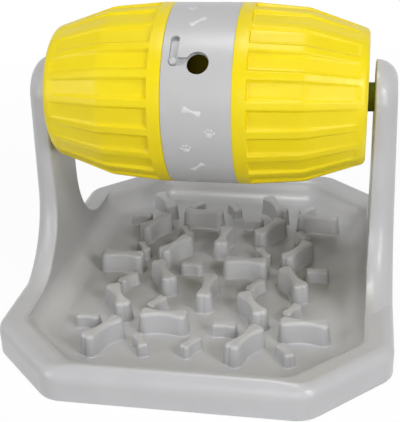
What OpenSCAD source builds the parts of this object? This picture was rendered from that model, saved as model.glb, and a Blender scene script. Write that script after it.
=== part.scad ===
// Slow feeder: an octagonal tray with a maze of bone ridges and a treat barrel turning over it.
// Millimetres. X runs left to right, Y front to back, Z up. Z = 0 is the table.

/* [Tray] */
// Width of the tray
tray_w = 298; // [240:1:360]
// Depth of the tray from front to back
tray_d = 372; // [300:1:460]
// Length taken off both sides of each tray corner
corner_cut = 57.5; // [40:0.5:80]
// Plan radius of the outer tray corners
corner_r = 24; // [6:1:40]
// Height of the rim above the table
rim_top = 25.5; // [20:0.5:32]
// Radius of the outer top edge of the rim
rim_edge_r = 9; // [3:0.5:12]
// Width of the rim along the left and right sides
side_rim_w = 21.5; // [16:0.5:28]
// Width of the rim along the front and back
end_rim_w = 19; // [14:0.5:26]
// Extra width of the rim along the cut corners
corner_rim_extra = 3.5; // [0:0.5:8]
// Height of the tray floor above the table
floor_z = 4.8; // [3.5:0.1:8]
// Radius of the hollow between the floor and the rim
floor_fillet = 20; // [8:0.5:20]
// Plan radius of the pocket corners
pocket_r = 23; // [21:0.5:30]
// Radius of the inner edge of the rim along the front, the back and the cut corners
crest_r = 9; // [4:0.5:9]
// Radius of the inner edges of the uprights and of the rim beside them
soft_edge = 2.5; // [1:0.1:4]
// Wall thickness of the moulding
wall = 3; // [2:0.1:4]
// Gap between the lower edge of the tray and the table
skirt_gap = 0.8; // [0.4:0.1:2]

/* [Uprights] */
// Lean of the outer face of an upright towards the barrel, in degrees
upright_lean = 1.5; // [0.5:0.1:3]
// Half of the width of an upright, which is also the radius of its top
upright_half = 29.3; // [20:0.1:40]
// Radius of the flare from an upright into the rim
flare_r = 62; // [30:1:80]
// Radius of the outer edges of an upright
upright_edge_r = 16; // [6:0.5:18]
// Height of the barrel axis above the table
axle_z = 169; // [140:1:200]
// Depth of the blind sockets that hold the axle stubs
socket_depth = 6.5; // [4:0.5:10]

/* [Maze] */
// Distance from the middle of the tray to the two columns of stars
star_x = 54.5; // [45:0.5:60]
// Distance from the middle row of stars to the front and back rows
star_y = 93.5; // [80:0.5:100]
// Distance from the middle of a star to the middle of its tall bones
tall_reach = 28.3; // [24:0.1:34]
// Length of a tall bone
tall_l = 37; // [28:0.5:40]
// Width of a tall bone at its ends
tall_w = 12.4; // [9:0.1:15]
// Width of a tall bone at its middle
tall_neck = 6.6; // [4:0.1:9]
// Height of the tall bones above the table
tall_top = 22; // [12:0.5:25]
// Distance from the middle of a star to the middle of its low bones
low_reach = 33; // [28:0.1:38]
// Length of a low bone
low_l = 19; // [14:0.5:24]
// Width of a low bone at its ends
low_w = 8.4; // [6:0.1:11]
// Width of a low bone at its middle
low_neck = 6; // [4:0.1:8]
// Height of the low bones above the table
low_top = 15; // [9:0.5:18]
// Distance from the middle of the tray to the two bones that lie front to back
spine_y = 46; // [40:0.5:55]
// Distance from the middle of the tray to the two slanted low bones
end_y = 120; // [105:1:130]

/* [Feet] */
// Radius of a rubber foot
foot_r = 7; // [5:0.5:8]
// Thickness of a rubber foot
foot_t = 2; // [1.5:0.1:4]
// Distance of the middle of a foot from the left or right side of the tray
foot_side_inset = 37; // [24:0.5:50]
// Distance of the middle of a foot from the front or back of the tray
foot_end_inset = 37.5; // [24:0.5:50]

/* [Barrel] */
// Outer radius of the centre band and of the shell rings beside it
barrel_r = 70.6; // [55:0.1:80]
// Width of the centre band
band_w = 52; // [44:1:64]
// Wall thickness of the centre band
band_wall = 3; // [2.5:0.1:4]
// Width of the plain ring of a shell beside the band
ring_w = 10; // [4:0.5:16]
// Gap between an end of the barrel and the upright beside it
end_gap = 5.1; // [4:0.1:12]
// Length of the steep end cone of a shell
cone_l = 45.8; // [30:0.1:60]
// Drop of the radius from the band to the start of the end cone
kink_drop = 3.6; // [1:0.1:8]
// Drop of the radius from the band to the end face
end_drop = 19.3; // [12:0.1:26]
// Radius of the edge around the end face
end_edge_r = 5; // [2:0.5:8]
// Wall thickness of a shell
shell_wall = 3.6; // [3:0.1:5]
// Number of recessed panels around a shell
panel_count = 20; // [12:1:28]
// Part of each panel pitch taken by the recess
panel_share = 0.65; // [0.4:0.01:0.8]
// Depth of the recessed panels
panel_depth = 1.6; // [0.6:0.1:2]
// Turn of the first panel around the barrel axis
panel_phase = 10.5; // [0:0.5:18]
// Distance from the outer end of a panel to the end face
panel_margin = 4.4; // [3:0.1:12]
// Distance from the middle of the barrel to the inner end of a neck
neck_x = 12; // [10:0.5:16]
// Wall thickness of a neck
neck_wall = 2.5; // [2:0.1:3]

/* [Outlet and shutter] */
// Radius of the treat outlet in the band
outlet_r = 8.5; // [6:0.1:10]
// Position of the outlet along the barrel
outlet_x = 0.5; // [-3:0.1:3]
// Angle of the outlet above the front of the barrel
outlet_angle = 35.4; // [20:0.1:60]
// Position of the knob and its slot along the barrel
knob_x = -17.3; // [-18:0.1:-15]
// Radius of the knob
knob_r = 2.8; // [2:0.1:3]
// Height of the knob above the band
knob_h = 1.4; // [0.8:0.1:2.5]
// Angle that the shutter turns from open to closed
shutter_travel = 14.5; // [14:0.1:18]
// Radial thickness of the shutter ring
shutter_t = 1.9; // [1.5:0.1:2]
// Opening of the springy shutter ring on the side away from the outlet, which also balances the barrel
shutter_gap = 17.5; // [12:0.5:60]

/* [Bayonet] */
// Width of a bayonet lug around the neck
lug_angle = 20; // [12:1:26]
// Turn of the left shell between shut and free
twist_travel = 30; // [26:1:40]
// Thickness of a lug along the barrel
lug_t = 2; // [1.5:0.1:2.2]
// Thickness of the band flange along the barrel
flange_t = 2.2; // [1.8:0.1:2.4]

/* [Axle] */
// Radius of an axle stub
stub_r = 11.2; // [8:0.1:12]
// Radius of the flange of an axle stub inside the shell
stub_flange_r = 15; // [13:0.5:20]
// Thickness of the flange and of the end of an axle stub
stub_wall = 3; // [2:0.1:4]

/* [Clearances] */
// Gap between pieces that move past one another
run_gap = 0.3; // [0.2:0.05:0.5]
// Radial gap of an axle stub in its socket
axle_gap = 0.08; // [0.02:0.01:0.1]
// Gap between the end of an axle stub and the bottom of its socket
stub_end_gap = 0.5; // [0.3:0.1:1]

/* [Hidden] */
$fn = 96;
half_w = tray_w / 2;
inner_x = half_w - side_rim_w;
foot_of_upright = floor_z + 8;
raw_x = inner_x - 1;
raw_t = half_w - raw_x;
pocket_w = tray_w - 2 * side_rim_w;
pocket_d = tray_d - 2 * end_rim_w;
pocket_cut = inset_cut(corner_cut, (side_rim_w + end_rim_w) / 2) + corner_rim_extra * sqrt(2);
dish_turn = acos(1 - (rim_top - floor_z) / (floor_fillet + crest_r));
dish_run = (floor_fillet + crest_r) * sin(dish_turn) - 0.005;
core_half = upright_half - wall;
core_edge_r = upright_edge_r - wall;
socket_r = stub_r + axle_gap;
boss_r = socket_r + wall;
corner_lift = 0.03;
foot_x = half_w - foot_side_inset;
foot_y = tray_d / 2 - foot_end_inset;
post_r = foot_r + 1.5;
post_z = skirt_gap + 0.2;
band_half = band_w / 2;
band_in = barrel_r - band_wall;
shutter_out = band_in - run_gap;
shutter_in = shutter_out - shutter_t;
neck_out = shutter_in - run_gap;
neck_in = neck_out - neck_wall;
shoulder_x = band_half + 3;
end_x = inner_x - end_gap;
end_r = barrel_r - end_drop;
kink_x = end_x - cone_l;
kink_r = barrel_r - kink_drop;
panel_start = band_half + ring_w + 0.6;
panel_end = end_x - panel_margin;
slot_half = knob_r + 0.5;
leg_half = slot_half - 0.15;
knob_angle = outlet_angle + 0.7;
lug_x = band_half - flange_t - run_gap;
lug_out = shutter_out - 0.1;
cone_slope = atan2(kink_r - end_r, end_x - kink_x);
edge_x = end_x - end_edge_r;
edge_c = end_r + (end_edge_r * sin(cone_slope) - end_edge_r) / cos(cone_slope);
stub_in_x = end_x - shell_wall - stub_wall;
stub_out_x = inner_x + socket_depth - stub_end_gap;
grey = [0.76, 0.76, 0.77];
yellow = [0.93, 0.8, 0.1];
olive = [0.25, 0.27, 0.04];
dark = [0.12, 0.12, 0.12];

// Cut corner length of an octagon whose sides have moved in by t
function inset_cut(cut, t) = cut - t * (2 - sqrt(2));

// Corners of an octagon, counter-clockwise from the front end of the right side
function octagon(w, d, cut) = [
    [w / 2, cut - d / 2],
    [w / 2, d / 2 - cut],
    [w / 2 - cut, d / 2],
    [cut - w / 2, d / 2],
    [-w / 2, d / 2 - cut],
    [-w / 2, cut - d / 2],
    [cut - w / 2, -d / 2],
    [w / 2 - cut, -d / 2]
];

// Distance across the cut corners of an octagon
function across(w, d, cut) = (w + d - 2 * cut) / sqrt(2);

// What is left of a square corner outside a round of radius r, pointing up and right
module corner_waste(r) {
    difference() {
        square(r + 1);
        circle(r);
    }
}

// Section of a block of width w with rounded top edges
module crown_section(w, z0, z1, edge_r) {
    difference() {
        translate([-w / 2, z0])
            square([w, z1 - z0]);
        for (side = [0, 1])
            mirror([side, 0])
                translate([w / 2 - edge_r, z1 - edge_r])
                    corner_waste(edge_r);
    }
}

// Section of a hollow of width w with a round foot, upright walls and a mouth flared by the radius mouth
module hollow_section(w, z0, z1, foot_fillet, mouth) {
    difference() {
        translate([-w / 2 - mouth, z0])
            square([w + 2 * mouth, z1 + 1 - z0]);
        for (side = [0, 1])
            mirror([side, 0]) {
                translate([w / 2 - foot_fillet, z0 + foot_fillet])
                    mirror([0, 1])
                        corner_waste(foot_fillet);
                translate([w / 2, z0 - 1])
                    square([mouth + 1, z1 - mouth + 1 - z0]);
                translate([w / 2 + mouth, z1 - mouth])
                    circle(mouth);
            }
    }
}

// Material beside a dished hollow, t under its surface: a hollow round from a floor that ends at floor_end
// runs into a crowning round that reaches the rim
module dish_wall(floor_end, t) {
    low = [floor_end, floor_z + floor_fillet];
    high = [floor_end + dish_run, rim_top - crest_r];
    below = floor_z - t - 3;
    difference() {
        polygon([low, [floor_end, below], [high.x + 3, below], [high.x + 3, high.y], high]);
        translate(low)
            circle(floor_fillet + t);
    }
    translate(high)
        circle(crest_r - t);
}

// Section of a dished hollow, t under the surface of a hollow of width w
module dish_section(w, t) {
    floor_end = w / 2 - floor_fillet;
    crest = floor_end + dish_run;
    difference() {
        translate([-crest, floor_z - t])
            square([2 * crest, rim_top + 3 - floor_z]);
        for (side = [0, 1])
            mirror([side, 0])
                dish_wall(floor_end, t);
    }
}

// Long block with the child as its section, lying at an angle in plan
module loaf(turn) {
    rotate(turn)
        rotate([90, 0, 0])
            linear_extrude(2 * tray_d, center = true)
                children();
}

// Octagonal block: straight loaves for its sides crossed by slanted ones for its cut corners
module crown_block(w, d, cut, z0, z1, edge_r) {
    slant = across(w, d, cut);
    intersection() {
        loaf(0) crown_section(w, z0, z1, edge_r);
        loaf(90) crown_section(d, z0, z1, edge_r);
        loaf(45) crown_section(slant, z0, z1, edge_r);
        loaf(-45) crown_section(slant, z0, z1, edge_r);
    }
}

// Octagonal hollow t under the surface of the pocket: upright walls at the sides, dished ones all round the ends
module pocket_block(t, top, mouth) {
    slant = across(pocket_w, pocket_d, pocket_cut);
    intersection() {
        loaf(0) hollow_section(pocket_w + 2 * t, floor_z - t, top, floor_fillet + t, mouth);
        loaf(90) dish_section(pocket_d, t);
        loaf(45) dish_section(slant, t);
        loaf(-45) dish_section(slant, t);
    }
}

// Section of a round tray corner, from its centre out to the side of the tray
module corner_section() {
    difference() {
        translate([0, -2])
            square([corner_r, rim_top + 4]);
        translate([corner_r - rim_edge_r, rim_top - rim_edge_r + corner_lift])
            difference() {
                square([rim_edge_r + 1, rim_edge_r + 4]);
                circle(rim_edge_r);
            }
    }
}

// Section of a round pocket corner, from its centre out to the rim
module pocket_corner_section() {
    floor_end = pocket_r - floor_fillet;
    difference() {
        translate([0, floor_z - 2])
            square([floor_end + dish_run + 1, rim_top + 4 - floor_z]);
        dish_wall(floor_end, -2 * corner_lift);
    }
}

// Tools that round the corners of an octagonal block to the radius r, with the child as the round section,
// which reaches out past the radius by less than reach
module corner_cutters(points, r, reach) {
    half_turn = 22.5;
    tip = r / cos(half_turn);
    far = (r + reach) / cos(half_turn);
    side = (r + reach) * [cos(half_turn), sin(half_turn)];
    for (i = [0 : 7])
        translate(points[i])
            rotate(45 * i - half_turn)
                translate([-tip, 0, 0])
                    difference() {
                        linear_extrude(rim_top + 1)
                            polygon([[0, 0], [side.x, -side.y], [far, 0], side]);
                        rotate_extrude()
                            children();
                    }
}

module tray_outside() {
    difference() {
        crown_block(tray_w, tray_d, corner_cut, skirt_gap, rim_top, rim_edge_r);
        corner_cutters(octagon(tray_w, tray_d, corner_cut), corner_r, 6)
            corner_section();
    }
}

module tray_hollow() {
    difference() {
        pocket_block(0, rim_top, soft_edge);
        corner_cutters(octagon(pocket_w, pocket_d, pocket_cut), pocket_r, dish_run - floor_fillet + 2)
            pocket_corner_section();
    }
}

// Space under the rim, open to the table
module tray_underside() {
    difference() {
        crown_block(
            tray_w - 2 * wall, tray_d - 2 * wall, inset_cut(corner_cut, wall),
            -1, rim_top - wall, rim_edge_r - wall
        );
        pocket_block(wall, rim_top + 2, 0);
    }
}

// Half section of an upright from its middle to its side; Y is the distance from the inner face
module upright_half_section(half, thick, inner_r, outer_r) {
    difference() {
        square([half, thick]);
        if (outer_r > 0)
            translate([half - outer_r, thick - outer_r])
                corner_waste(outer_r);
        if (inner_r > 0)
            translate([half - inner_r, inner_r])
                mirror([0, 1])
                    corner_waste(inner_r);
    }
}

// Shaft of the right upright from z0 up to its round top
module upright_shaft(x0, half, thick, inner_r, outer_r, z0) {
    translate([x0, 0, z0])
        linear_extrude(axle_z - z0)
            for (side = [0, 1])
                mirror([0, side])
                    rotate(90)
                        mirror([0, 1])
                            upright_half_section(half, thick, inner_r, outer_r);
    translate([x0, 0, axle_z])
        rotate([90, 0, 90])
            rotate_extrude(angle = 180)
                upright_half_section(half, thick, inner_r, outer_r);
}

// Round tool that cuts the flare beside an upright that starts at x0
module flare_cutter(r, x0, thick, inner_r, outer_r) {
    rotate([90, 0, 90])
        rotate_extrude() {
            translate([0, x0 - 1])
                square([r, thick + 2]);
            if (outer_r > 0)
                translate([r + outer_r, x0 + thick - outer_r])
                    mirror([1, 0])
                        corner_waste(outer_r);
            if (inner_r > 0)
                translate([r + inner_r, x0 + inner_r])
                    mirror([1, 0])
                        mirror([0, 1])
                            corner_waste(inner_r);
        }
}

// Shaft and flared foot of the right upright
module upright_form(x0, half, thick, inner_r, outer_r) {
    flare_y = upright_half + flare_r;
    flare_z = rim_top + flare_r;
    upright_shaft(x0, half, thick, inner_r, outer_r, flare_z);
    difference() {
        translate([x0, -flare_y, foot_of_upright])
            cube([thick, 2 * flare_y, flare_z - foot_of_upright]);
        for (side = [-1, 1])
            translate([0, side * flare_y, flare_z])
                flare_cutter(flare_y - half, x0, thick, inner_r, outer_r);
    }
}

// Leans the right upright towards the barrel about the lower edge of its outer face
module lean() {
    translate([half_w, 0, foot_of_upright])
        rotate([0, -upright_lean, 0])
            translate([-half_w, 0, -foot_of_upright])
                children();
}

// The leaning form gives the round outer edges and an upright form gives the flat inner face
module right_upright() {
    intersection() {
        lean()
            upright_form(raw_x, upright_half, raw_t, 0, upright_edge_r);
        upright_form(inner_x, upright_half + 0.3, raw_t + 4, soft_edge + 0.3, 0);
    }
}

// Hollow of the right upright, open to the table, with the socket cup left standing in it
module right_upright_core() {
    difference() {
        lean()
            upright_shaft(raw_x, core_half, raw_t - wall, 0, core_edge_r, -1);
        translate([raw_x - 10, -upright_half, -10])
            cube([inner_x + wall - raw_x + 10, 2 * upright_half, axle_z + 2 * upright_half]);
        translate([inner_x, 0, axle_z])
            rotate([0, 90, 0])
                cylinder(r = boss_r, h = socket_depth + wall);
    }
}

module right_socket() {
    translate([inner_x - 1, 0, axle_z])
        rotate([0, 90, 0])
            cylinder(r = socket_r, h = socket_depth + 1);
}

// Outline of a bone lying along X: two round lobes at each end, joined by hollow flanks that touch the lobes
module bone_outline(l, w, neck) {
    lobe = w / 3;
    lobe_x = l / 2 - lobe;
    lobe_y = w / 2 - lobe;
    rise = neck / 2 - lobe_y;
    flank = (lobe_x * lobe_x + rise * rise - lobe * lobe) / (2 * (lobe - rise));
    shoulder = lobe_y + lobe * (flank + rise) / (flank + lobe) - lobe / 10;
    difference() {
        square([2 * lobe_x, 2 * shoulder], center = true);
        for (y = [-1, 1])
            translate([0, y * (neck / 2 + flank)])
                circle(flank);
    }
    for (x = [-lobe_x, lobe_x], y = [-lobe_y, lobe_y])
        translate([x, y])
            circle(lobe);
}

module tall_bone() {
    translate([0, 0, floor_z - 1])
        linear_extrude(tall_top - floor_z + 1)
            bone_outline(tall_l, tall_w, tall_neck);
}

module low_bone() {
    translate([0, 0, floor_z - 1])
        linear_extrude(low_top - floor_z + 1)
            bone_outline(low_l, low_w, low_neck);
}

// Three tall bones around a point with three low bones between them
module bone_star() {
    for (a = [0, 120, 240]) {
        rotate(a)
            translate([tall_reach, 0, 0])
                tall_bone();
        rotate(a + 60)
            translate([low_reach, 0, 0])
                low_bone();
    }
}

module maze() {
    for (x = [-star_x, star_x]) {
        for (y = [-star_y, star_y])
            translate([x, y, 0])
                bone_star();
        translate([x, 0, 0])
            rotate(180)
                bone_star();
    }
    for (side = [-1, 1]) {
        translate([0, side * spine_y, 0])
            rotate(90)
                tall_bone();
        translate([0, side * end_y, 0])
            rotate(-60 * side)
                low_bone();
    }
}

// Post under a tray corner that carries a rubber foot in a shallow seat
module foot_post() {
    difference() {
        translate([0, 0, post_z])
            cylinder(r = post_r, h = rim_top - wall + 0.5 - post_z);
        translate([0, 0, -1])
            cylinder(r = foot_r, h = foot_t + 1);
    }
}

module at_feet() {
    for (x = [-foot_x, foot_x], y = [-foot_y, foot_y])
        translate([x, y, 0])
            children();
}

module stand() {
    color(grey)
        union() {
            difference() {
                union() {
                    difference() {
                        tray_outside();
                        tray_hollow();
                    }
                    for (side = [0, 1])
                        mirror([side, 0, 0])
                            right_upright();
                }
                tray_underside();
                for (side = [0, 1])
                    mirror([side, 0, 0]) {
                        right_upright_core();
                        right_socket();
                    }
            }
            maze();
            at_feet()
                foot_post();
        }
}

module foot(x, y) {
    color(dark)
        translate([x, y, 0])
            cylinder(r = foot_r, h = foot_t);
}

// Turns a child that points along +Z at the axis to an angle above the front of the barrel
module at_angle(a) {
    translate([0, 0, axle_z])
        rotate([90 - a, 0, 0])
            children();
}

// Ring sector around the barrel axis from angle a0 over a turn, angles above the front of the barrel
module sector(r0, r1, x0, x1, a0, turn) {
    translate([0, 0, axle_z])
        rotate([180 - a0 - turn, 0, 0])
            rotate([90, 0, 90])
                rotate_extrude(angle = turn)
                    translate([r0, x0])
                        square([r1 - r0, x1 - x0]);
}

// Ring around the barrel axis
module hoop(r0, r1, x0, x1) {
    translate([x0, 0, axle_z])
        rotate([0, 90, 0])
            difference() {
                cylinder(r = r1, h = x1 - x0);
                translate([0, 0, -1])
                    cylinder(r = r0, h = x1 - x0 + 2);
            }
}

// Radial pin through the barrel wall
module radial_pin(x, a, r, r0, r1) {
    at_angle(a)
        translate([x, 0, r0])
            cylinder(r = r, h = r1 - r0);
}

// Outlet, short leg and long leg of the slot in the band
module band_cuts() {
    r0 = band_in - 1;
    r1 = barrel_r + 2;
    radial_pin(outlet_x, outlet_angle, outlet_r, r0 - 1, r1);
    radial_pin(knob_x, knob_angle, slot_half, r0, r1);
    radial_pin(knob_x, knob_angle + shutter_travel, slot_half, r0, r1);
    sector(r0, r1, knob_x - leg_half, knob_x + leg_half, knob_angle, shutter_travel);
    at_angle(knob_angle)
        translate([knob_x, -leg_half, r0 + 0.2])
            cube([outlet_x - knob_x, 2 * leg_half, r1 - r0]);
}

module centre_band() {
    lug_pitch = 120;
    slot_angle = lug_angle + 4;
    color(grey)
        union() {
            difference() {
                hoop(band_in, barrel_r, -band_half, band_half);
                band_cuts();
            }
            hoop(neck_out, band_in + 0.5, band_half - flange_t, band_half);
            for (i = [0 : 2]) {
                sector(
                    neck_out + run_gap, band_in + 0.5, -band_half, flange_t - band_half,
                    i * lug_pitch + twist_travel - 2 + slot_angle, lug_pitch - slot_angle
                );
                sector(
                    neck_out + 2 * run_gap, band_in + 0.8, flange_t - band_half - 0.4, lug_t - lug_x,
                    i * lug_pitch - 4.5, 4
                );
            }
        }
}

// Section of the right shell from its neck to its end face; X is the radius and Y runs along the barrel
module shell_section() {
    difference() {
        union() {
            polygon([
                [0, band_half],
                [barrel_r, band_half],
                [barrel_r, band_half + ring_w],
                [kink_r, kink_x],
                [edge_c + end_edge_r * cos(cone_slope), edge_x + end_edge_r * sin(cone_slope)],
                [edge_c, edge_x],
                [edge_c, end_x],
                [0, end_x]
            ]);
            translate([edge_c, edge_x])
                circle(end_edge_r);
            translate([neck_in, neck_x])
                square([neck_wall, shoulder_x - neck_x]);
        }
        polygon([
            [0, shoulder_x],
            [barrel_r - shell_wall, shoulder_x],
            [barrel_r - shell_wall, band_half + ring_w],
            [kink_r - shell_wall, kink_x],
            [end_r - shell_wall + 1.2, end_x - shell_wall],
            [0, end_x - shell_wall]
        ]);
        translate([0, band_half - 1])
            square([neck_in, shoulder_x - band_half + 2]);
        translate([0, end_x - shell_wall - 1])
            square([stub_r, shell_wall + 2]);
    }
}

// Section of the recess of one panel
module panel_section() {
    slope = (kink_r - end_r) / (end_x - kink_x);
    far_r = kink_r - slope * (panel_end - kink_x);
    polygon([
        [barrel_r - panel_depth, panel_start],
        [kink_r - panel_depth, kink_x],
        [far_r - panel_depth, panel_end],
        [far_r + 12, panel_end],
        [barrel_r + 4, panel_start]
    ]);
}

// Shell on the right side, before its neck is finished
module right_shell_body() {
    panel_pitch = 360 / panel_count;
    difference() {
        translate([0, 0, axle_z])
            rotate([90, 0, 90])
                rotate_extrude()
                    shell_section();
        for (i = [0 : panel_count - 1])
            translate([0, 0, axle_z])
                rotate([i * panel_pitch + panel_phase, 0, 0])
                    rotate([90, 0, 90])
                        rotate_extrude(angle = panel_pitch * panel_share)
                            panel_section();
    }
}

module right_shell() {
    color(yellow)
        right_shell_body();
}

// The left shell stands clear of the band and carries the bayonet lugs on its neck
module left_shell() {
    color(yellow)
        union() {
            difference() {
                mirror([1, 0, 0])
                    right_shell_body();
                hoop(neck_out, barrel_r + 1, -band_half - run_gap, 0);
            }
            for (i = [0 : 2])
                sector(neck_out - 1, lug_out, -lug_x, lug_t - lug_x, i * 120, lug_angle);
        }
}

// Flanged cup pressed into the end wall of the right shell from inside
module right_stub_body() {
    translate([0, 0, axle_z])
        rotate([90, 0, 90])
            rotate_extrude()
                difference() {
                    union() {
                        translate([0, stub_in_x])
                            square([stub_flange_r, stub_wall]);
                        translate([0, stub_in_x])
                            square([stub_r, stub_out_x - stub_in_x - 0.8]);
                        translate([0, stub_in_x])
                            square([stub_r - 0.8, stub_out_x - stub_in_x]);
                    }
                    translate([0, stub_in_x - 1])
                        square([stub_r - stub_wall, stub_out_x - stub_wall - stub_in_x + 1]);
                }
}

module right_axle_stub() {
    color(olive)
        right_stub_body();
}

module left_axle_stub() {
    color(olive)
        mirror([1, 0, 0])
            right_stub_body();
}

// Springy ring behind the band with its own outlet and the knob
module shutter_ring() {
    x0 = lug_t - lug_x + run_gap;
    x1 = band_half - flange_t - run_gap;
    color(grey)
        union() {
            difference() {
                sector(
                    shutter_in, shutter_out, x0, x1,
                    outlet_angle + 180 + shutter_gap / 2, 360 - shutter_gap
                );
                radial_pin(outlet_x, outlet_angle, outlet_r - 0.3, shutter_in - 3, shutter_out + 3);
            }
            radial_pin(knob_x, knob_angle, knob_r, shutter_in + 0.6, barrel_r + knob_h);
        }
}

stand();
foot(-foot_x, -foot_y);  // front_left_foot
foot(foot_x, -foot_y);  // front_right_foot
foot(-foot_x, foot_y);  // back_left_foot
foot(foot_x, foot_y);  // back_right_foot
centre_band();
left_shell();
right_shell();
left_axle_stub();
right_axle_stub();
shutter_ring();
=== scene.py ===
# Looks of the slow feeder: soft-edged maze and shells, small prints, plastics, light and camera
import math

import bmesh
import bpy
from mathutils import Matrix, Vector


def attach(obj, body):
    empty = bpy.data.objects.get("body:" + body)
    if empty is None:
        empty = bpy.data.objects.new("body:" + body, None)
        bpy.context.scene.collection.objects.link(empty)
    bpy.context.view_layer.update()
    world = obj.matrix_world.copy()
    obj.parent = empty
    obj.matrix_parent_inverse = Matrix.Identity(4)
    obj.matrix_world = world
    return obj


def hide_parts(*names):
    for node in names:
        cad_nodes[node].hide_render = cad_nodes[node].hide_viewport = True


# Sizes of the part are in millimetres and angles in degrees; Blender's own are in metres
MM = 0.001

# Tray and the flat floor of its pocket
FLOOR_Z = 4.8
POCKET_FLAT_X = 107.5
POCKET_FLAT_Y = 147
POCKET_FLAT_SLANT = 213
FRONT_Y = 186
CORNER_X = 81.6
CORNER_R = 24
SKIRT_Z = 0.8

# Rim of the solid: an outer round, a narrow flat top and an inner round
RIM_TOP = 25.5
RIM_EDGE_R = 9
RIM_INSIDE_DEPTH = 9.5
CREST_X = 67.4
CREST_DEPTH = 11.2
CREST_PLAN_R = 30.8
CREST_R = 9
CREST_FOOT = 19.8

# Front rim of the photograph: a wide outer round, a bevel and a narrow crest
SOFT_RIM_R = 14.4
SOFT_RIM_Z = 13.56
SOFT_BEVEL = 46
SOFT_CREST_R = 5
SOFT_CREST_DEPTH = 9.6
SOFT_CREST_Z = 22.13
SOFT_CREST_END = 13

# Where the solid's front rim is cut and moved to that shape
RIM_REACH = 25
RIM_FADE_START = 64
RIM_FADE_END = 95
RIM_CUTS_X = (64, 71, 78, 85)
RIM_CUTS_DEPTH = (3.5, 5.6, 7.8, 10, 12.3)
RIM_TOUCH = 0.35
FACE_TOUCH = 0.02

# Bone ridges of the maze; reach is the distance from the middle of a star
TALL = {
    "length": 37,
    "width": 12.4,
    "neck": 6.6,
    "top": 22,
    "reach": 28.3,
    "round": 2.8,
    "foot": 1.2,
    "draft": 1.6,
}
LOW = {
    "length": 19,
    "width": 8.4,
    "neck": 6,
    "top": 15,
    "reach": 33,
    "round": 2.0,
    "foot": 1.0,
    "draft": 1.0,
}
STAR_X = 54.5
STAR_Y = 93.5
STAR_ARMS = (0, 120, 240)
LOW_TURN = 60
SPINE_Y = 46
END_BONE_Y = 120
RIDGE_SINK = 1
RIDGE_LIFT = 0.02
NOTCH_STEPS = 4
LOBE_STEPS = 10
FLANK_STEPS = 6
PROFILE_STEPS = 5

# Clean-up of the solid's mesh
MERGE_GAP = 0.06
SLIVER = 0.05
RIDGE_START = 1.2

# Barrel and its shells
AXLE_Z = 169
BARREL_R = 70.6
BAND_HALF = 26
RUN_GAP = 0.3
RING_W = 10
KINK_X = 76.6
KINK_R = 67
END_X = 122.4
END_R = 51.3
END_EDGE_R = 5
END_EDGE_STEPS = 6
END_FACE_RADII = (38, 28, 18)
SHELL_WALL = 3.6
SHELL_EDGE_R = 0.35
SHELL_EDGE_STEPS = 4
INSIDE_END_R = 48.9
NECK_X = 12
NECK_OUT = 65.1
NECK_IN = 62.6
NECK_SEAT = 3
STUB_R = 11.2
STUB_GAP = 0.1
STUB_CHAMFER = 0.4

# Recessed panels of the shells; PANEL_EDGE is half the width of a panel's side edge, in degrees
PANEL_COUNT = 20
PANEL_SHARE = 0.65
PANEL_EDGE = 1.1
PANEL_PHASE = 10.5
PANEL_DEPTH_START = 2.8
PANEL_DEPTH_END = 0.6
PANEL_START = 36.6
PANEL_LEAD = 0.4
PANEL_RAMP = 0.9
KINK_STEP = 1.5
PANEL_ROWS = (44, 54, 64, 72, KINK_X - KINK_STEP, KINK_X + KINK_STEP, 82, 92, 102, 111)
PANEL_FADE = 5
PANEL_END = 118
EDGE_STEPS = (0, 0.17, 0.34, 0.5, 0.66, 0.83, 1)
PANEL_FLOOR_STEPS = (-0.6, 0, 0.6)
BAR_STEPS = (0.3, 0.7)

# Bayonet lugs of the left shell
LUG_COUNT = 3
LUG_ANGLE = 20
LUG_STEPS = 8
LUG_OUT = 67.2
LUG_SINK = 0.2
LUG_X0 = 21.5
LUG_X1 = 23.5

# Prints on the band: place along the barrel, angle above the front and tilt
FRONT_BONES = ((-3, 65.7, 40), (-2.8, 6.5, -18), (-1.4, -33.8, 44))
FRONT_PAWS = ((-10.3, 81, 0), (10, -6.8, -8), (-8.3, -18, 12))
BACK_BONES = (
    (9, 104, -28),
    (-8, 135, 35),
    (6, 168, -20),
    (-9, 200, 24),
    (8, 232, -40),
    (-5, 262, 15),
    (4, 292, 38),
)
BACK_PAWS = (
    (-9, 112, 20),
    (11, 146, -14),
    (-7, 176, 8),
    (11, 208, 30),
    (-11, 240, -18),
    (10, 270, 12),
    (-10, 304, -25),
)
PRINT_BONE_LENGTH = 14
PRINT_BONE_WIDTH = 4.8
PRINT_BONE_NECK = 2.2
PRINT_FOOT = 0.01
PRINT_TOP = 0.09
PRINT_INSET = 0.12

# Paw of the prints: a pad, and toes by place and lean
PAD_Y = -1.4
PAD_RX = 2.5
PAD_RY = 1.9
TOES = ((-3.1, 0.7, 25), (-1.15, 2.7, 8), (1.15, 2.7, -8), (3.1, 0.7, -25))
TOE_RX = 0.95
TOE_RY = 1.35
OVAL_STEPS = 20

# Cap of the shutter knob: rows of radius and height above the band
KNOB_X = -17.3
KNOB_ANGLE = 36.1
KNOB_ROWS = ((2.88, -2.8), (2.88, 0.9), (2.7, 1.35), (2.2, 1.75), (1.3, 2.0), (0.5, 2.1))
KNOB_STEPS = 32

# Camera that matches the photograph, in metres, degrees and millimetres of lens
CAMERA_PLACE = (0.115975, -0.665975, 0.381708)
CAMERA_YAW = 10.896
CAMERA_PITCH = 25.016
CAMERA_ROLL = -2.044
CAMERA_LENS = 75.5
CAMERA_SENSOR = 36
CAMERA_NEAR = 0.01

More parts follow.
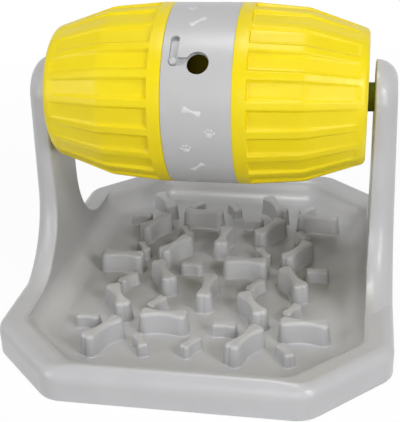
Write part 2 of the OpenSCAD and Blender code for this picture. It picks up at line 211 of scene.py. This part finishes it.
# Lamps: name, place and width in metres, and power in watts
LAMP_TARGET = (0, 0, 0.1)
LAMPS = (
    ("overhead", (0, -0.2, 1.7), 0.6, 9.9),
    ("front", (0.15, -1.6, 0.62), 0.45, 3.8),
    ("right_high", (1.1, -1.0, 1.0), 0.5, 9.7),
    ("right_low", (1.4, -1.2, 0.4), 0.6, 6.8),
    ("left_high", (-1.1, -1.0, 1.0), 0.5, 2.9),
    ("left_low", (-1.4, -1.2, 0.4), 0.6, 6.2),
    ("left_side", (-1.7, 0, 0.7), 0.6, 1.4),
    ("back_high", (0.3, 1.3, 1.4), 0.6, 0.8),
)
AMBIENT = 0.02

# White floor, in metres: its shadow fades out between two distances from the part
STAGE_HALF = 6
STAGE_FADE_START = 0.3
STAGE_FADE_END = 0.9
STAGE_WHITE_NEAR = 0.95
STAGE_BOUNCE = 0.8
STAGE_PAPER = 0.95

# Patterns in the plastics: scale of the clouds, of the uneven gloss and of the grain
CLOUD_SCALE = 28
GLOSS_SCALE = 160
GRAIN_SCALE = 1500
GRAIN_HEIGHT = 0.0001
NOISE_LOW = 0.3
NOISE_HIGH = 0.7
SMALL_BEVEL = 0.0004

WHITE = (1, 1, 1, 1)


def new_object(name, mesh):
    """An object of the mesh, linked into the scene."""
    obj = bpy.data.objects.new(name, mesh)
    bpy.context.scene.collection.objects.link(obj)
    return obj


def mesh_from(name, verts, faces):
    """A mesh of points in metres and faces."""
    mesh = bpy.data.meshes.new(name)
    mesh.from_pydata(verts, [], faces)
    mesh.validate()
    mesh.update()
    return mesh


def smooth(mesh, angle):
    """Shades a mesh smooth and keeps edges sharper than the angle."""
    mesh.shade_smooth()
    mesh.set_sharp_from_angle(angle=math.radians(angle))


def paint(obj, mat):
    """Gives an object one material."""
    obj.data.materials.clear()
    obj.data.materials.append(mat)


def ease(t):
    """Smooth step from 0 to 1."""
    return t * t * (3 - 2 * t)


def heading(turn):
    """Unit vector in plan at a turn in radians."""
    return Vector((math.cos(turn), math.sin(turn)))


def turn_z(angle):
    """Turn about the upright axis."""
    return Matrix.Rotation(math.radians(angle), 4, "Z")


def close_rows(faces, first, rows, count):
    """Adds the faces of a closed form: rows of points around it, from one end to the other."""
    for row in range(rows - 1):
        for i in range(count):
            a = first + row * count + i
            b = first + row * count + (i + 1) % count
            faces.append((a, b, b + count, a + count))
    top = first + (rows - 1) * count
    faces.append(tuple(reversed(range(first, first + count))))
    faces.append(tuple(range(top, top + count)))


def srgb(r, g, b):
    """Linear colour of a screen colour given in 0 to 255."""
    def channel(c):
        c = c / 255
        return c / 12.92 if c <= 0.04045 else ((c + 0.055) / 1.055) ** 2.4
    return (channel(r), channel(g), channel(b), 1.0)


def noise(tree, coords, scale, detail):
    """Cloudy pattern from 0 to 1, fixed to the object."""
    pattern = tree.nodes.new("ShaderNodeTexNoise")
    pattern.inputs["Scale"].default_value = scale
    pattern.inputs["Detail"].default_value = detail
    tree.links.new(coords.outputs["Object"], pattern.inputs["Vector"])
    return pattern.outputs["Fac"]


def plastic(name, light, dark, rough, grain, bevel=0.0, specular=0.5):
    """Moulded plastic: cloudy colour, uneven gloss and a fine spark-eroded grain."""
    mat = bpy.data.materials.new(name)
    mat.use_nodes = True
    tree = mat.node_tree
    nodes = tree.nodes
    links = tree.links
    shader = nodes["Principled BSDF"]
    shader.inputs["Specular IOR Level"].default_value = specular
    coords = nodes.new("ShaderNodeTexCoord")

    ramp = nodes.new("ShaderNodeValToRGB")
    ramp.color_ramp.elements[0].position = NOISE_LOW
    ramp.color_ramp.elements[0].color = dark
    ramp.color_ramp.elements[1].position = NOISE_HIGH
    ramp.color_ramp.elements[1].color = light
    links.new(noise(tree, coords, CLOUD_SCALE, 4), ramp.inputs["Fac"])
    links.new(ramp.outputs["Color"], shader.inputs["Base Color"])

    gloss = nodes.new("ShaderNodeMapRange")
    gloss.inputs["From Min"].default_value = NOISE_LOW
    gloss.inputs["From Max"].default_value = NOISE_HIGH
    gloss.inputs["To Min"].default_value = rough[0]
    gloss.inputs["To Max"].default_value = rough[1]
    links.new(noise(tree, coords, GLOSS_SCALE, 3), gloss.inputs["Value"])
    links.new(gloss.outputs["Result"], shader.inputs["Roughness"])

    bump = nodes.new("ShaderNodeBump")
    bump.inputs["Strength"].default_value = grain
    bump.inputs["Distance"].default_value = GRAIN_HEIGHT
    links.new(noise(tree, coords, GRAIN_SCALE, 2), bump.inputs["Height"])
    if bevel > 0:
        edge = nodes.new("ShaderNodeBevel")
        edge.samples = 6
        edge.inputs["Radius"].default_value = bevel
        links.new(edge.outputs["Normal"], bump.inputs["Normal"])
    links.new(bump.outputs["Normal"], shader.inputs["Normal"])
    return mat


def bone_path(length, width, neck):
    """Points of a bone outline lying along X, each with its outward normal, in order around the bone."""
    lobe = width / 3
    lobe_x = length / 2 - lobe
    lobe_y = width / 2 - lobe
    rise = neck / 2 - lobe_y
    flank = (lobe_x * lobe_x + rise * rise - lobe * lobe) / (2 * (lobe - rise))
    touch = math.atan2(neck / 2 + flank - lobe_y, lobe_x)
    notch = math.acos(lobe_y / lobe)
    start = notch - math.pi / 2
    end = math.pi - touch
    quarter = []
    for i in range(NOTCH_STEPS):
        normal = heading(start * i / NOTCH_STEPS)
        quarter.append((Vector((lobe_x + lobe * math.sin(notch), 0)), normal))
    for i in range(LOBE_STEPS + 1):
        normal = heading(start + (end - start) * i / LOBE_STEPS)
        quarter.append((Vector((lobe_x, lobe_y)) + lobe * normal, normal))
    for i in range(1, FLANK_STEPS + 1):
        normal = -heading(-touch - (math.pi / 2 - touch) * i / FLANK_STEPS)
        quarter.append((Vector((0, neck / 2 + flank)) - flank * normal, normal))
    mirrored = [(Vector((-p.x, p.y)), Vector((-n.x, n.y))) for p, n in reversed(quarter[:-1])]
    half = quarter + mirrored
    below = [(Vector((p.x, -p.y)), Vector((n.x, -n.y))) for p, n in reversed(half[1:-1])]
    return half + below


def bone_profile(kind):
    """Steps outward and heights from the foot of a bone ridge to its rounded top."""
    foot = kind["foot"]
    edge = kind["round"]
    top = kind["top"]
    turns = [math.pi / 2 * i / PROFILE_STEPS for i in range(PROFILE_STEPS + 1)]
    rows = []
    for turn in turns:
        height = FLOOR_Z + RIDGE_LIFT + foot - foot * math.cos(turn)
        rows.append((foot - foot * math.sin(turn), height))
    for turn in turns:
        rows.append((edge * math.cos(turn) - edge, top - edge + edge * math.sin(turn)))
    rise = top - FLOOR_Z
    return [(out + kind["draft"] * (top - z) / rise, z) for out, z in rows]


def add_bone(verts, faces, kind, place):
    """Adds one soft bone ridge to the lists; place moves it in plan."""
    path = bone_path(kind["length"], kind["width"], kind["neck"])
    profile = bone_profile(kind)
    rows = [(profile[0][0], FLOOR_Z - RIDGE_SINK)] + profile
    first = len(verts)
    for out, z in rows:
        for point, normal in path:
            spot = point + normal * out
            if point.y * spot.y < 0:
                spot.y = 0
            verts.append(place @ Vector((spot.x, spot.y, z)) * MM)
    close_rows(faces, first, len(rows), len(path))


def bone_places():
    """Kind and place of every bone ridge of the maze."""
    places = []
    stars = [(x, y, 0) for x in (-STAR_X, STAR_X) for y in (-STAR_Y, STAR_Y)]
    stars += [(x, 0, 180) for x in (-STAR_X, STAR_X)]
    for x, y, turn in stars:
        star = Matrix.Translation((x, y, 0)) @ turn_z(turn)
        for arm in STAR_ARMS:
            tall = turn_z(arm) @ Matrix.Translation((TALL["reach"], 0, 0))
            low = turn_z(arm + LOW_TURN) @ Matrix.Translation((LOW["reach"], 0, 0))
            places.append((TALL, star @ tall))
            places.append((LOW, star @ low))
    for side in (-1, 1):
        spine = Matrix.Translation((0, side * SPINE_Y, 0)) @ turn_z(90)
        end = Matrix.Translation((0, side * END_BONE_Y, 0)) @ turn_z(-LOW_TURN * side)
        places.append((TALL, spine))
        places.append((LOW, end))
    return places


def make_ridges():
    """The soft bone ridges of the maze, as one piece."""
    verts = []
    faces = []
    for kind, place in bone_places():
        add_bone(verts, faces, kind, place)
    mesh = mesh_from("bone_ridges", verts, faces)
    smooth(mesh, angle=50)
    return new_object("bone_ridges", mesh)


def in_pocket(point):
    """True over the flat floor of the tray."""
    x = abs(point.x) / MM
    y = abs(point.y) / MM
    return x < POCKET_FLAT_X and y < POCKET_FLAT_Y and x + y < POCKET_FLAT_SLANT


def plain_rim(depth):
    """Height of the solid's rim at a depth in from the front of the tray."""
    if depth < RIM_EDGE_R:
        return RIM_TOP - RIM_EDGE_R + math.sqrt(RIM_EDGE_R ** 2 - (RIM_EDGE_R - depth) ** 2)
    if depth < CREST_DEPTH:
        return RIM_TOP
    return RIM_TOP - CREST_R + math.sqrt(CREST_R ** 2 - (depth - CREST_DEPTH) ** 2)


def soft_rim(depth):
    """Height of the photograph's rim there: outer round, bevel, crest and a slope to the dish."""
    tilt = math.radians(SOFT_BEVEL)
    bevel_start = SOFT_RIM_R - SOFT_RIM_R * math.sin(tilt)
    bevel_end = SOFT_CREST_DEPTH - SOFT_CREST_R * math.sin(tilt)
    if depth < bevel_start:
        return SOFT_RIM_Z + math.sqrt(SOFT_RIM_R ** 2 - (SOFT_RIM_R - depth) ** 2)
    if depth < bevel_end:
        return SOFT_CREST_Z + SOFT_CREST_R * math.cos(tilt) - (bevel_end - depth) * math.tan(tilt)
    if depth < SOFT_CREST_END:
        return SOFT_CREST_Z + math.sqrt(SOFT_CREST_R ** 2 - (depth - SOFT_CREST_DEPTH) ** 2)
    top = SOFT_CREST_Z + math.sqrt(SOFT_CREST_R ** 2 - (SOFT_CREST_END - SOFT_CREST_DEPTH) ** 2)
    t = (depth - SOFT_CREST_END) / (CREST_FOOT - SOFT_CREST_END)
    return top + (plain_rim(CREST_FOOT) - top) * t


def rim_depth(x, y):
    """Depth in from the front edge, which bends around the tray's corners and the pocket's."""
    outside = CORNER_R - math.hypot(max(x - CORNER_X, 0), y - FRONT_Y + CORNER_R)
    if outside < RIM_INSIDE_DEPTH:
        return outside
    crest_y = FRONT_Y - CREST_DEPTH - CREST_PLAN_R
    return CREST_DEPTH + CREST_PLAN_R - math.hypot(max(x - CREST_X, 0), y - crest_y)


def cut(shape, place, normal):
    """New edges where a plane crosses the shape; place is in millimetres."""
    geometry = shape.verts[:] + shape.edges[:] + shape.faces[:]
    spot = [c * MM for c in place]
    bmesh.ops.bisect_plane(shape, geom=geometry, plane_co=spot, plane_no=normal)


def reshape_rim(shape):
    """Gives the front rim the crest of the photograph, which fades out towards the corners."""
    for x in RIM_CUTS_X:
        for side in (-1, 1):
            cut(shape, (side * x, 0, 0), (1, 0, 0))
    for depth in RIM_CUTS_DEPTH:
        cut(shape, (0, depth - FRONT_Y, 0), (0, 1, 0))
    for vert in shape.verts:
        x = abs(vert.co.x) / MM
        y = -vert.co.y / MM
        z = vert.co.z / MM
        if x > RIM_FADE_END or y < FRONT_Y - RIM_REACH:
            continue
        depth = min(max(rim_depth(x, y), 0), CREST_FOOT)
        t = (RIM_FADE_END - x) / (RIM_FADE_END - RIM_FADE_START)
        share = ease(min(max(t, 0), 1))
        move = (soft_rim(depth) - plain_rim(depth)) * share
        if abs(z - plain_rim(depth)) < RIM_TOUCH:
            vert.co.z += move * MM
        elif depth < FACE_TOUCH and z > SKIRT_Z:
            vert.co.z += move * (z - SKIRT_Z) / (plain_rim(0) - SKIRT_Z) * MM


def make_stand(cad):
    """The moulding with its plain ridges taken off, their places closed and its front rim reshaped."""
    shape = bmesh.new()
    shape.from_mesh(cad.data)
    bmesh.ops.remove_doubles(shape, verts=shape.verts, dist=MERGE_GAP * MM)
    bmesh.ops.dissolve_degenerate(shape, edges=shape.edges, dist=SLIVER * MM)
    limit = (FLOOR_Z + RIDGE_START) * MM
    ridges = []
    for face in shape.faces:
        middle = face.calc_center_median()
        if middle.z > limit and in_pocket(middle):
            ridges.append(face)
    bmesh.ops.delete(shape, geom=ridges, context="FACES")
    footprints = [edge for edge in shape.edges if edge.is_boundary]
    bmesh.ops.triangle_fill(shape, edges=footprints, use_beauty=True, normal=(0, 0, 1))
    reshape_rim(shape)
    base = bpy.data.meshes.new("tray_and_uprights")
    shape.to_mesh(base)
    shape.free()
    smooth(base, angle=42)
    stand = new_object("tray_and_uprights", base)
    normals = stand.modifiers.new("even_shading", "WEIGHTED_NORMAL")
    normals.mode = "FACE_AREA"
    normals.keep_sharp = True
    return stand


def panel_turns():
    """Angles around the barrel, each with its share of the panel depth and its flattening."""
    pitch = 360 / PANEL_COUNT
    width = pitch * PANEL_SHARE
    half_floor = width / 2 - PANEL_EDGE
    turns = []
    for i in range(PANEL_COUNT):
        start = PANEL_PHASE + i * pitch
        for t in EDGE_STEPS:
            turns.append((start + PANEL_EDGE * (2 * t - 1), ease(t), 0))
        for t in PANEL_FLOOR_STEPS:
            off = half_floor * t
            flat = 1 - math.cos(math.radians(half_floor)) / math.cos(math.radians(off))
            turns.append((start + width / 2 + off, 1, flat))
        for t in EDGE_STEPS:
            turns.append((start + width + PANEL_EDGE * (2 * t - 1), 1 - ease(t), 0))
        for t in BAR_STEPS:
            turns.append((start + width + (pitch - width) * t, 0, 0))
    return turns


def shell_radius(x):
    """Outer radius of a shell at a place along the barrel, beside its panels."""
    ring_end = BAND_HALF + RING_W
    if x < ring_end:
        return BARREL_R
    if x < KINK_X:
        return BARREL_R + (KINK_R - BARREL_R) * (x - ring_end) / (KINK_X - ring_end)
    return KINK_R + (END_R - KINK_R) * (x - KINK_X) / (END_X - KINK_X)


def shell_rings(face_x):
    """Closed section of a shell: rows of place along the barrel, radius and share of panel depth."""
    slope = math.atan2(KINK_R - END_R, END_X - KINK_X)
    edge_x = END_X - END_EDGE_R
    edge_r = END_R + (END_EDGE_R * math.sin(slope) - END_EDGE_R) / math.cos(slope)
    rings = [(NECK_X, NECK_IN, 0), (NECK_X, NECK_OUT, 0), (face_x, NECK_OUT, 0)]
    for i in range(SHELL_EDGE_STEPS + 1):
        turn = math.pi / 2 * i / SHELL_EDGE_STEPS
        x = face_x + SHELL_EDGE_R - SHELL_EDGE_R * math.cos(turn)
        rings.append((x, BARREL_R - SHELL_EDGE_R + SHELL_EDGE_R * math.sin(turn), 0))
    for x in (BAND_HALF + RING_W / 2, PANEL_START - PANEL_RAMP):
        rings.append((x, shell_radius(x), 0))
    for t in EDGE_STEPS:
        x = PANEL_START - PANEL_LEAD + PANEL_RAMP * t
        rings.append((x, shell_radius(x), ease(t)))
    for x in PANEL_ROWS:
        rings.append((x, shell_radius(x), 1))
    for t in EDGE_STEPS:
        x = PANEL_END - PANEL_FADE * (1 - t)
        rings.append((x, shell_radius(x), 1 - ease(t)))
    for i in range(END_EDGE_STEPS + 1):
        turn = slope + (math.pi / 2 - slope) * i / END_EDGE_STEPS
        rings.append((edge_x + END_EDGE_R * math.sin(turn), edge_r + END_EDGE_R * math.cos(turn), 0))
    hole_r = STUB_R + STUB_GAP
    for r in END_FACE_RADII + (hole_r + STUB_CHAMFER,):
        rings.append((END_X, r, 0))
    rings.append((END_X - STUB_CHAMFER, hole_r, 0))
    rings.append((END_X - SHELL_WALL, hole_r, 0))
    rings.append((END_X - SHELL_WALL, INSIDE_END_R, 0))
    rings.append((KINK_X, KINK_R - SHELL_WALL, 0))
    rings.append((BAND_HALF + RING_W, BARREL_R - SHELL_WALL, 0))
    rings.append((BAND_HALF + NECK_SEAT, BARREL_R - SHELL_WALL, 0))
    rings.append((BAND_HALF + NECK_SEAT, NECK_IN, 0))
    return rings


def around(x, r, turn):
    """Point in metres at a turn around the barrel, from its back over its top."""
    a = math.radians(turn)
    return Vector((x, r * math.cos(a), AXLE_Z + r * math.sin(a))) * MM


def add_lugs(verts, faces):
    """Bayonet lugs on the neck of the left shell."""
    low = NECK_OUT - LUG_SINK
    corners = ((LUG_X0, low), (LUG_X1, low), (LUG_X1, LUG_OUT), (LUG_X0, LUG_OUT))
    for i in range(LUG_COUNT):
        first = len(verts)
        for k in range(LUG_STEPS + 1):
            turn = 180 - (i * 360 / LUG_COUNT + LUG_ANGLE * k / LUG_STEPS)
            for x, r in corners:
                verts.append(around(-x, r, turn))
        close_rows(faces, first, LUG_STEPS + 1, len(corners))


def make_shell(name, side):
    """A shell with soft-edged recessed panels; side is 1 on the right and -1 on the left."""
    turns = panel_turns()
    rings = shell_rings(BAND_HALF if side > 0 else BAND_HALF + RUN_GAP)
    verts = []
    faces = []
    count = len(turns)
    for x, r, share in rings:
        along = (x - PANEL_START) / (PANEL_END - PANEL_START)
        panel_depth = PANEL_DEPTH_START + (PANEL_DEPTH_END - PANEL_DEPTH_START) * along
        for turn, depth, flat in turns:
            radius = (r - panel_depth * share * depth) * (1 - share * flat)
            verts.append(around(side * x, radius, turn))
    for row in range(len(rings)):
        below = row * count
        above = (row + 1) % len(rings) * count
        for i in range(count):
            j = (i + 1) % count
            quad = (below + i, above + i, above + j, below + j)
            faces.append(quad if side < 0 else quad[::-1])
    if side < 0:
        add_lugs(verts, faces)
    mesh = mesh_from(name, verts, faces)
    smooth(mesh, angle=40)
    return new_object(name, mesh)


def on_band(x, rise, angle, lift):
    """Point in metres on the band: place along the barrel, rise on its surface, angle above front."""
    a = math.radians(angle) + rise / BARREL_R
    r = BARREL_R + lift
    return Vector((x, -r * math.cos(a), AXLE_Z + r * math.sin(a))) * MM


def add_print(verts, faces, outline, x, angle, tilt):
    """Thin raised print of an outline, turned by tilt on the band."""
    turn = Matrix.Rotation(math.radians(tilt), 2)
    rows = ((0, PRINT_FOOT), (PRINT_INSET, PRINT_TOP))
    first = len(verts)
    for inset, lift in rows:
        for point, normal in outline:
            spot = turn @ (point - normal * inset)
            verts.append(on_band(x + spot.x, spot.y, angle, lift))
    close_rows(faces, first, len(rows), len(outline))


def oval(cx, cy, rx, ry, lean):
    """Points of a leaning oval, each with its outward normal."""
    turn = Matrix.Rotation(math.radians(lean), 2)
    middle = Vector((cx, cy))
    points = []
    for i in range(OVAL_STEPS):
        a = 2 * math.pi * i / OVAL_STEPS
        normal = Vector((math.cos(a) / rx, math.sin(a) / ry)).normalized()
        spot = turn @ Vector((rx * math.cos(a), ry * math.sin(a))) + middle
        points.append((spot, turn @ normal))
    return points


def paw_outlines():
    """A pad with four toes, about eight millimetres across."""
    outlines = [oval(0, PAD_Y, PAD_RX, PAD_RY, 0)]
    for x, y, lean in TOES:
        outlines.append(oval(x, y, TOE_RX, TOE_RY, lean))
    return outlines


def make_prints():
    """Light bones and paws printed around the band; the front ones follow the photograph."""
    bone = bone_path(PRINT_BONE_LENGTH, PRINT_BONE_WIDTH, PRINT_BONE_NECK)
    paw = paw_outlines()
    verts = []
    faces = []
    for x, angle, tilt in FRONT_BONES + BACK_BONES:
        add_print(verts, faces, bone, x, angle, tilt)
    for x, angle, tilt in FRONT_PAWS + BACK_PAWS:
        for outline in paw:
            add_print(verts, faces, outline, x, angle, tilt)
    mesh = mesh_from("band_prints", verts, faces)
    smooth(mesh, angle=60)
    return new_object("band_prints", mesh)


def make_knob():
    """Domed cap of the shutter knob, drawn over its plain pin."""
    lean = Matrix.Rotation(math.radians(90 - KNOB_ANGLE), 4, "X")
    place = Matrix.Translation(Vector((0, 0, AXLE_Z))) @ lean
    verts = []
    faces = []
    for r, height in KNOB_ROWS:
        for i in range(KNOB_STEPS):
            a = 2 * math.pi * i / KNOB_STEPS
            spot = Vector((KNOB_X + r * math.cos(a), r * math.sin(a), BARREL_R + height))
            verts.append(place @ spot * MM)
    close_rows(faces, 0, len(KNOB_ROWS), KNOB_STEPS)
    mesh = mesh_from("knob_cap", verts, faces)
    smooth(mesh, angle=60)
    return new_object("knob_cap", mesh)


def make_camera():
    """Camera at the place, turn and lens of the photograph."""
    yaw = math.radians(CAMERA_YAW)
    pitch = math.radians(CAMERA_PITCH)
    roll = math.radians(CAMERA_ROLL)
    level = Vector((-math.sin(yaw), math.cos(yaw), 0))
    ahead = level * math.cos(pitch) - Vector((0, 0, math.sin(pitch)))
    right = Vector((math.cos(yaw), math.sin(yaw), 0))
    up = right.cross(ahead)
    right_rolled = math.cos(roll) * right + math.sin(roll) * up
    up_rolled = math.cos(roll) * up - math.sin(roll) * right
    data = bpy.data.cameras.new("camera")
    data.lens = CAMERA_LENS
    data.sensor_width = CAMERA_SENSOR
    data.clip_start = CAMERA_NEAR
    camera = new_object("camera", data)
    turn = Matrix((right_rolled, up_rolled, -ahead)).transposed().to_4x4()
    camera.matrix_world = Matrix.Translation(CAMERA_PLACE) @ turn
    bpy.context.scene.camera = camera


def add_lamp(name, place, width, power):
    """A round area lamp that points at the part."""
    data = bpy.data.lights.new(name, "AREA")
    data.shape = "DISK"
    data.size = width
    data.energy = power
    lamp = new_object(name, data)
    lamp.location = place
    lamp.rotation_euler = (Vector(LAMP_TARGET) - Vector(place)).to_track_quat("-Z", "Y").to_euler()


def seen_as_white(nodes, links):
    """A factor that is one for rays from the camera, from gloss and through glass."""
    path = nodes.new("ShaderNodeLightPath")
    first = nodes.new("ShaderNodeMath")
    first.operation = "MAXIMUM"
    links.new(path.outputs["Is Camera Ray"], first.inputs[0])
    links.new(path.outputs["Is Glossy Ray"], first.inputs[1])
    second = nodes.new("ShaderNodeMath")
    second.operation = "MAXIMUM"
    links.new(first.outputs["Value"], second.inputs[0])
    links.new(path.outputs["Is Transmission Ray"], second.inputs[1])
    return second.outputs["Value"]


def make_world():
    """White backdrop that gives the part only a little light."""
    world = bpy.data.worlds.new("studio")
    world.use_nodes = True
    bpy.context.scene.world = world
    nodes = world.node_tree.nodes
    links = world.node_tree.links
    ambient = nodes["Background"]
    ambient.inputs["Color"].default_value = WHITE
    ambient.inputs["Strength"].default_value = AMBIENT
    backdrop = nodes.new("ShaderNodeBackground")
    backdrop.inputs["Color"].default_value = WHITE
    backdrop.inputs["Strength"].default_value = 1.0
    mix = nodes.new("ShaderNodeMixShader")
    links.new(seen_as_white(nodes, links), mix.inputs["Fac"])
    links.new(ambient.outputs["Background"], mix.inputs[1])
    links.new(backdrop.outputs["Background"], mix.inputs[2])
    links.new(mix.outputs["Shader"], nodes["World Output"].inputs["Surface"])


def floor_white():
    """Paper that keeps a soft shadow near the part and turns to plain white away from it."""
    mat = bpy.data.materials.new("white_floor")
    mat.use_nodes = True
    nodes = mat.node_tree.nodes
    links = mat.node_tree.links
    shader = nodes["Principled BSDF"]
    shader.inputs["Base Color"].default_value = (STAGE_BOUNCE, STAGE_BOUNCE, STAGE_BOUNCE, 1)
    shader.inputs["Roughness"].default_value = 0.9
    shader.inputs["Specular IOR Level"].default_value = 0
    paper = nodes.new("ShaderNodeBsdfDiffuse")
    paper.inputs["Color"].default_value = (STAGE_PAPER, STAGE_PAPER, STAGE_PAPER, 1)
    glow = nodes.new("ShaderNodeEmission")
    glow.inputs["Strength"].default_value = 1.0
    place = nodes.new("ShaderNodeNewGeometry")
    away = nodes.new("ShaderNodeVectorMath")
    away.operation = "LENGTH"
    links.new(place.outputs["Position"], away.inputs[0])
    fade = nodes.new("ShaderNodeMapRange")
    fade.inputs["From Min"].default_value = STAGE_FADE_START
    fade.inputs["From Max"].default_value = STAGE_FADE_END
    fade.inputs["To Min"].default_value = STAGE_WHITE_NEAR
    fade.inputs["To Max"].default_value = 1.0
    links.new(away.outputs["Value"], fade.inputs["Value"])
    white = nodes.new("ShaderNodeMixShader")
    links.new(fade.outputs["Result"], white.inputs["Fac"])
    links.new(paper.outputs["BSDF"], white.inputs[1])
    links.new(glow.outputs["Emission"], white.inputs[2])
    seen = nodes.new("ShaderNodeMixShader")
    links.new(seen_as_white(nodes, links), seen.inputs["Fac"])
    links.new(shader.outputs["BSDF"], seen.inputs[1])
    links.new(white.outputs["Shader"], seen.inputs[2])
    links.new(seen.outputs["Shader"], nodes["Material Output"].inputs["Surface"])
    return mat


def make_floor():
    """Wide white floor under the part."""
    size = STAGE_HALF
    corners = [(-size, -size, 0), (size, -size, 0), (size, size, 0), (-size, size, 0)]
    floor = new_object("floor", mesh_from("floor", corners, [(0, 1, 2, 3)]))
    paint(floor, floor_white())


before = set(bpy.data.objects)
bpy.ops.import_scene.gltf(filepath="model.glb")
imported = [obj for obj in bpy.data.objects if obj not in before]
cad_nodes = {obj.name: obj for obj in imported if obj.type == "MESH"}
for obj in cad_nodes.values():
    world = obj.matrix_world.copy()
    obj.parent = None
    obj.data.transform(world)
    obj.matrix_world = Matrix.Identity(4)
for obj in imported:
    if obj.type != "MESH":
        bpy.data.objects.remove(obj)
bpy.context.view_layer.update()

# Camera, backdrop and lamps
bpy.context.scene.view_settings.view_transform = "Standard"
make_camera()
make_world()
make_floor()
for name, place, width, power in LAMPS:
    add_lamp(name, place, width, power)

# Materials
grey = plastic(
    "grey_moulded_plastic",
    light=srgb(189, 189, 191),
    dark=srgb(185, 185, 187),
    rough=(0.29, 0.35),
    grain=0.05,
)
grey_band = plastic(
    "grey_band_plastic",
    light=srgb(188, 188, 189),
    dark=srgb(184, 184, 185),
    rough=(0.29, 0.35),
    grain=0.05,
    bevel=SMALL_BEVEL,
)
print_grey = plastic(
    "light_print",
    light=srgb(214, 214, 216),
    dark=srgb(206, 206, 209),
    rough=(0.42, 0.55),
    grain=0.1,
)
yellow = plastic(
    "yellow_moulded_plastic",
    light=srgb(237, 215, 6),
    dark=srgb(233, 209, 2),
    rough=(0.32, 0.42),
    grain=0.06,
    specular=0.35,
)
# Axle stubs in dark olive, set as dark and green as they look in their narrow shaded gap beside the
# uprights
dark_olive = plastic(
    "dark_olive_axle",
    light=srgb(120, 130, 5),
    dark=srgb(112, 121, 0),
    rough=(0.4, 0.52),
    grain=0.15,
    bevel=SMALL_BEVEL,
    specular=0.1,
)
rubber = plastic(
    "rubber_foot",
    light=srgb(60, 60, 60),
    dark=srgb(48, 48, 48),
    rough=(0.7, 0.85),
    grain=0.4,
    bevel=SMALL_BEVEL,
)

# Stand and maze
stand = make_stand(cad_nodes["stand"])
paint(stand, grey)
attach(stand, "stand")
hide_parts("stand")
ridges = make_ridges()
paint(ridges, grey)
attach(ridges, "stand")

# Shells: name, replaced node, side and body
for name, node, side, body in (
    ("left_panelled_shell", "left_shell", -1, "left_end"),
    ("right_panelled_shell", "right_shell", 1, "barrel"),
):
    shell = make_shell(name, side)
    paint(shell, yellow)
    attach(shell, body)
    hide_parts(node)

# Prints and knob
prints = make_prints()
paint(prints, print_grey)
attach(prints, "barrel")
knob = make_knob()
paint(knob, grey_band)
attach(knob, "shutter")

# Solids that are shown as they are
for mat, names in (
    (grey_band, ("centre_band", "shutter_ring")),
    (dark_olive, ("left_axle_stub", "right_axle_stub")),
    (rubber, ("front_left_foot", "front_right_foot", "back_left_foot", "back_right_foot")),
):
    for name in names:
        paint(cad_nodes[name], mat)
        smooth(cad_nodes[name].data, angle=30)
